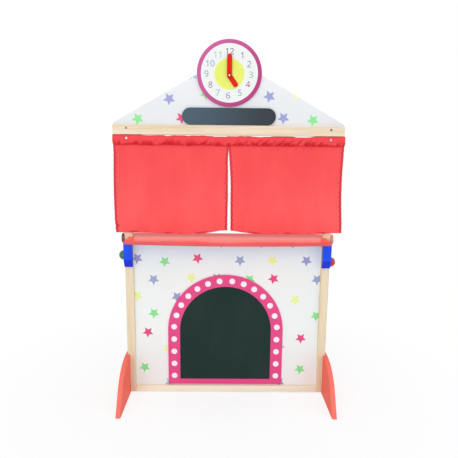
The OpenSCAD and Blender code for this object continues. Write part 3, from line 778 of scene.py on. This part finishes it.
# Tucks of the casing, from left to right: where each meets the seam in millimetres, and how deep it is.
TUCKS = (
    (-345, 0.4), (-300, 0.5), (-248, 0.4), (-212, 0.8), (-198, 1.0), (-172, 0.5), (-148, 0.6), (-136, 0.9),
    (-110, 0.5), (-84, 0.7), (-55, 0.5), (-28, 0.5), (16, 0.6), (46, 0.7), (86, 0.9), (109, 1.0),
    (139, 0.8), (162, 1.0), (191, 0.8), (221, 1.0), (247, 0.8), (270, 0.8), (290, 0.7), (312, 0.5),
    (350, 0.4),
)
TUCK_LEAN, TUCK_HALF, TUCK_DEPTH = 0.9, 0.0046, 0.0034
TUCK_FADE, TUCK_REACH = 0.58, 0.030  # the share of a tuck that is lost on its way up, and that way
DROP_TUCK, TUCK_END = 0.0022, 0.008  # the tucks' depth below the seam, and how soon they end there
PUCKER_STEP, PUCKER_HALF = 0.016, 0.0036
PUCKER_DEPTH, PUCKER_PULL = 0.0016, 0.0011  # how far a gather dents a side hem, and draws it in
CREASE_Z, CREASE_HALF = 0.606, 0.006  # one deep crease in the left curtain's outer hem
SIDE_STEP, FOOT_STEP = 0.0009, 0.0008  # how far the folded hems stand forward
FOOT_CURL = 0.0010
SLOW_WAVE, QUICK_WAVE = 0.0018, 0.0005  # the drop's waves, in front of its plane and behind it
BELLY, BELLY_AT_SCREW = 0.0104, 0.0088  # how far the casing stands in front of the rod's middle
BAR_GAP, LOOSE_DROP, LOOSE_DIP = 0.0004, 0.0009, 0.0027  # under the bar: its top, and where it is loose
PRESSED_FROM, PRESSED_OVER = 0.262, 0.03  # beyond this x the casing is pushed up against the bar


def through(line, place):
    """The smooth curve through points in millimetres, read at a place in metres."""
    place = min(max(place * 1000, line[0][0]), line[-1][0])
    k = max(i for i in range(len(line) - 1) if line[i][0] <= place)
    tilts = []
    for i in (k, k + 1):
        before, after = line[max(i - 1, 0)], line[min(i + 1, len(line) - 1)]
        tilts.append((after[1] - before[1]) / (after[0] - before[0]))
    (start, low), (end, high) = line[k], line[k + 1]
    t = (place - start) / (end - start)
    rest = 1 - t
    value = (1 + 2 * t) * rest * rest * low + t * t * (3 - 2 * t) * high
    return (value + (end - start) * (t * rest * rest * tilts[0] - t * t * rest * tilts[1])) / 1000


def ripple(*place):
    """Fixed noise from -1 to 1, smooth over a distance of 1."""
    return noise.noise(Vector((*place, 0.0, 0.0)[:3]), noise_basis="PERLIN_NEW")


def smooth(t):
    t = min(1.0, max(0.0, t))
    return t * t * (3 - 2 * t)


def hump(distance, half):
    """1 at no distance, and falling off over the half width."""
    return math.exp(-((distance / half) ** 2))


def tuck(x, z):
    """How deep the tucks are at a place on the casing, with the cloth swelling to the right of each.

    Each leans its own way, and widens and fades as it rises from the seam."""
    rise = max(z - SEAM_Z, 0.0)
    fade = 1 - TUCK_FADE * smooth(rise / TUCK_REACH)
    depth = 0.0
    for at, deep in TUCKS:
        run = x - at / 1000 - TUCK_LEAN * (1 + 0.6 * ripple(at * 0.37, 8.0)) * rise
        half = TUCK_HALF * (1 + 0.5 * ripple(at * 0.53, 9.0) + 30 * rise)
        if abs(run) < 0.04:
            depth += deep * fade * (hump(run, half) - 0.4 * hump(run - 2 * half, 1.4 * half))
    return depth


def pucker(z, seed):
    """Small gathers along the side hems, about one in each step."""
    cell = z / PUCKER_STEP + seed
    k = math.floor(cell)
    off = (cell - k - 0.5 - 0.2 * ripple(k * 1.7 + 0.3, seed)) * PUCKER_STEP
    return (0.7 + 0.5 * ripple(k * 2.3 + 0.7, seed)) * hump(off, PUCKER_HALF)


def seam_height(x, side):
    """The stitched seam's height, which wanders, and rises into each tuck."""
    return SEAM_Z + 0.0020 * ripple(x / 0.055, 10 * side, 4.0) + 0.0012 * tuck(side * x, SEAM_Z)


def casing_line(x, side):
    """The casing's middle line at x, as (y, z): up the front from the seam, over the rod, down behind."""
    swell = ripple(x / 0.070, 10 * side, 1.0) + 0.4 * ripple(x / 0.021, 10 * side, 2.0)
    at_screw = hump(x - SCREW_X, SCREW_HALF)
    pressed = smooth((x - PRESSED_FROM) / PRESSED_OVER)
    loose = (1 - at_screw) * (1 - pressed)
    top = BAR_LOW - BAR_GAP - (LOOSE_DROP + LOOSE_DIP * smooth(0.25 - 1.6 * swell)) * loose
    bulge = BELLY + 0.0010 * ripple(x / 0.03, 10 * side, 3.0)
    belly = bulge * (1 - at_screw) + BELLY_AT_SCREW * at_screw
    seam = seam_height(x, side)
    sag = 0.0030 * ripple(x / 0.026, 10 * side, 5.0)
    up_front = (
        (0.0, seam),
        (-0.30 * belly, seam + 0.0010 - 0.4 * sag),
        (-0.70 * belly, seam + 0.0054 - sag),
        (-0.95 * belly, seam + 0.0125 - 0.7 * sag),
        (-belly, ROD_Z + 0.0002),
        (-0.90 * belly, ROD_Z + 0.0062),
        (-(0.55 + 0.25 * pressed) * belly, top - 0.0022 + 0.0012 * pressed),
    )
    over_and_down = (
        (0.0, top), (0.0060, top - 0.0026), (0.0086, ROD_Z), (0.0078, ROD_Z - 0.0085),
        (0.0044, seam + 0.0066), (0.0013, seam + 0.0012), (0.0010, seam - 0.0060),
    )
    return [Vector((ROD_Y + y, z)) for y, z in up_front + over_and_down]


def along_line(points, steps):
    """Points at even steps on a smooth line through the given ones."""
    line = []
    count = len(points) - 1
    for i in range(steps + 1):
        k = min(int(i / steps * count), count - 1)
        f = i / steps * count - k
        a, b = points[max(k - 1, 0)], points[k]
        c, d = points[k + 1], points[min(k + 2, count)]
        square, cube = 2 * a - 5 * b + 4 * c - d, 3 * b - a - 3 * c + d
        line.append(0.5 * ((2 * b) + (c - a) * f + square * f * f + cube * f**3))
    return line


def curtain_column(share, side):
    """The sheet's points at a share of its width, foot first.

    Each is its place, its way along the cloth, its way from the hems, and how deep in a tuck it is."""

    def span(z):
        """At a height: the column's x, and its way from the leading and from the outer edge."""
        inner = through(SLIT_HALF, z) + side * through(SLIT_MIDDLE, z)
        width = through(OUTER_LINE[side], z) - inner
        return inner + share * width, share * width, (1 - share) * width

    column = []
    foot = through(FOOT_LINE[side], span(0.59)[0])
    seam = seam_height(span(SEAM_Z)[0], side)
    for row in range(DROP_ROWS):
        t = row / DROP_ROWS
        z = foot + (seam - foot) * (t - ROW_CROWD * math.sin(2 * math.pi * t) / (2 * math.pi))
        x, from_lead, from_outer = span(z)
        below, above = seam - z, z - foot
        fold = math.exp(-below / TUCK_END) * tuck(side * x, SEAM_Z)
        y = ROD_Y + DROP_TUCK * fold
        y += SLOW_WAVE * smooth(below / 0.08) * ripple(x / 0.085, z / 0.30, 3.0 + side)
        y += QUICK_WAVE * smooth(below / 0.04) * ripple(x / 0.030, z / 0.16, 6.0 + side)
        curl = FOOT_CURL * hump(above, 0.002) * ripple(x / 0.05, side)
        y -= FOOT_STEP * (1 - smooth((above - FOOT_HEM) / 0.002)) + curl
        # The two side hems, drawn in by small gathers.
        nearest = from_lead
        for distance, seed, inward in ((from_lead, 0.3 * side, 1), (from_outer, 7.0 + 0.3 * side, -1)):
            gather = pucker(z, seed) * smooth((below - 0.008) / 0.02)
            if inward < 0 and side < 0:
                gather += 1.3 * hump(z - CREASE_Z, CREASE_HALF)
            # Gathers count as folds and draw the hem's darker paint further in, so shade is painted in
            # them too.
            fold = max(fold, 0.75 * gather * hump(distance - 0.002, 0.0045))
            y -= SIDE_STEP * (1 - smooth((distance - HEM + 0.001) / 0.002))
            y += PUCKER_DEPTH * gather * hump(distance - HEM, 0.0034)
            x += inward * PUCKER_PULL * gather * hump(distance, 0.004)
            nearest = min(nearest, distance - 0.004 * gather)
        column.append((Vector((side * x, y, z)), (x, -below), (nearest, above), fold))
    x, from_lead, _ = span(ROD_Z)
    line = along_line(casing_line(x, side), CASING_ROWS)
    way = 0.0
    for row, (y, z) in enumerate(line):
        if row:
            way += (line[row] - line[row - 1]).length
        part = row / CASING_ROWS
        in_front = 1 - smooth((part - 0.26) / 0.18)
        fold = tuck(side * x, z) * in_front * (1 - hump(x - SCREW_X, SCREW_HALF / 2))
        y += TUCK_DEPTH * fold * smooth(part / 0.05)
        column.append((Vector((side * x, y, z)), (x, way), (from_lead, 1.0), fold))
    return column


def curtain_sheet(name, side, start, end, columns, body):
    """The part of a curtain from one share of its width to another, as cloth with a real thickness."""
    shape = bmesh.new()
    rows = DROP_ROWS + CASING_ROWS
    bmesh.ops.create_grid(shape, x_segments=columns, y_segments=rows, size=0.5)
    layers = [shape.loops.layers.uv.new(word) for word in ("cloth", "hem")]
    depth = shape.verts.layers.float.new("fold")
    points = [curtain_column(start + (end - start) * i / columns, side) for i in range(columns + 1)]
    maps = {}
    for point in shape.verts:
        row = points[round((point.co.x + 0.5) * columns)][round((point.co.y + 0.5) * rows)]
        point.co, *maps[point], point[depth] = row
    for face in shape.faces:
        for loop in face.loops:
            for layer, pair in zip(layers, maps[loop.vert]):
                loop[layer].uv = pair
    if side < 0:
        bmesh.ops.reverse_faces(shape, faces=shape.faces)
    shape.normal_update()
    bmesh.ops.solidify(shape, geom=shape.faces[:], thickness=CLOTH)
    for face in shape.faces:
        face.smooth = True
    piece = new_piece(name, shape, body, "red_cloth", red_weave)
    piece.data.set_sharp_from_angle(angle=math.radians(50))
    return piece


# The cloth is a plain weave of polyester with uneven threads, dyed in one piece.
# Its colour is painted darker in the casing and the hems, darkest in a band over the seam and in the
# tucks:
# painted shade where the casing overhangs, the hems curl and the cloth folds, and where double cloth lets
# less light through. The drop is painted lighter towards its foot and darker towards the seam: painted
# light and shade.
THREAD = 0.00045
red_weave, place = new_finish("red_weave", {"Specular IOR Level": 0.12})
cloth_map = place.node("UVMap", {"uv_map": "cloth"})
hem_map = place.node("UVMap", {"uv_map": "hem"})
across, up = cloth_map.axis(0), cloth_map.axis(1)
from_side, from_foot = hem_map.axis(0), hem_map.axis(1)
warp, weft = (way * (math.pi / THREAD) for way in (across, up))
weave = warp.math("SINE", warp) * weft.math("SINE", weft)
slub_up, slub_across = cloth_map.times(1.0, 0.08, 1.0), cloth_map.times(0.08, 1.0, 1.0)
slub = slub_up.cloud(520.0) + slub_across.cloud(520.0)
dye = place.times(1.0, 1.0, 0.4).cloud(14.0, 3.0).ease(0.3, 0.7)
sunlit = dye.mix(hue(240, 88, 90), hue(244, 97, 98))
shaded = dye.mix(hue(238, 77, 81), hue(241, 84, 86))
tone = up.ease(-0.28, -0.02).mix(sunlit, shaded)
# The hems are painted darker, the foot hem in patches where it curls: painted shade.
curl = cloth_map.times(1.0, 0.0, 0.0).cloud(18.0, 1.0).ease(0.46, 0.6) * 0.85 + 0.1
foot_hem = (1 - from_foot.ease(FOOT_HEM, FOOT_HEM + 0.0025)) * curl
side_hem = 1 - from_side.ease(HEM - 0.001, HEM + 0.0005)
tone = foot_hem.larger(side_hem).mix(tone, hue(212, 62, 72))
# The casing is painted darker: painted shade of the double cloth round the rod.
tone = up.ease(0.008, 0.018).mix(tone, hue(236, 72, 79))
# A wavy dark band over the seam, under the casing's belly: painted shade.
blotch = cloth_map.times(1.0, 0.5, 1.0).cloud(45.0, 2.0).ease(0.3, 0.6)
under_casing_shade = 1 - up.ease(blotch * 0.008 + 0.002, blotch * 0.014 + 0.010)
seam = up.ease(-0.004, 0.001) * under_casing_shade * (blotch * 0.6 + 0.4)
tone = seam.mix(tone, hue(206, 36, 48))
# The deeper a tuck or gather, the darker the cloth is painted: painted shade in the folds.
fold = cloth_map.node("Attribute", {"attribute_name": "fold"}, out="Fac")
tone = (fold.ease(0.05, 0.8) * 0.8).mix(tone, hue(198, 30, 42))
wire_up(
    red_weave,
    {
        "Base Color": tone,
        "Roughness": slub * 0.1 + 0.72,
        "Normal": (weave * 0.4 + slub).bump(0.00008, 0.4),
    },
)

for side, word in ((-1, "left"), (1, "right")):
    inner, outer = through(SLIT_HALF, ROD_Z), through(OUTER_LINE[side], ROD_Z)
    hem_share = (SPLIT - inner) / (outer - inner)
    drop = curtain_sheet(word + "_curtain_cloth", side, hem_share, 1.0, DROP_COLUMNS, "frame")
    edge = curtain_sheet(word + "_curtain_hem", side, 0.0, hem_share, HEM_COLUMNS, word + "_curtain_lead")
    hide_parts(word + "_curtain")
    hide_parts(word + "_curtain_edge")
    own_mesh(drop)
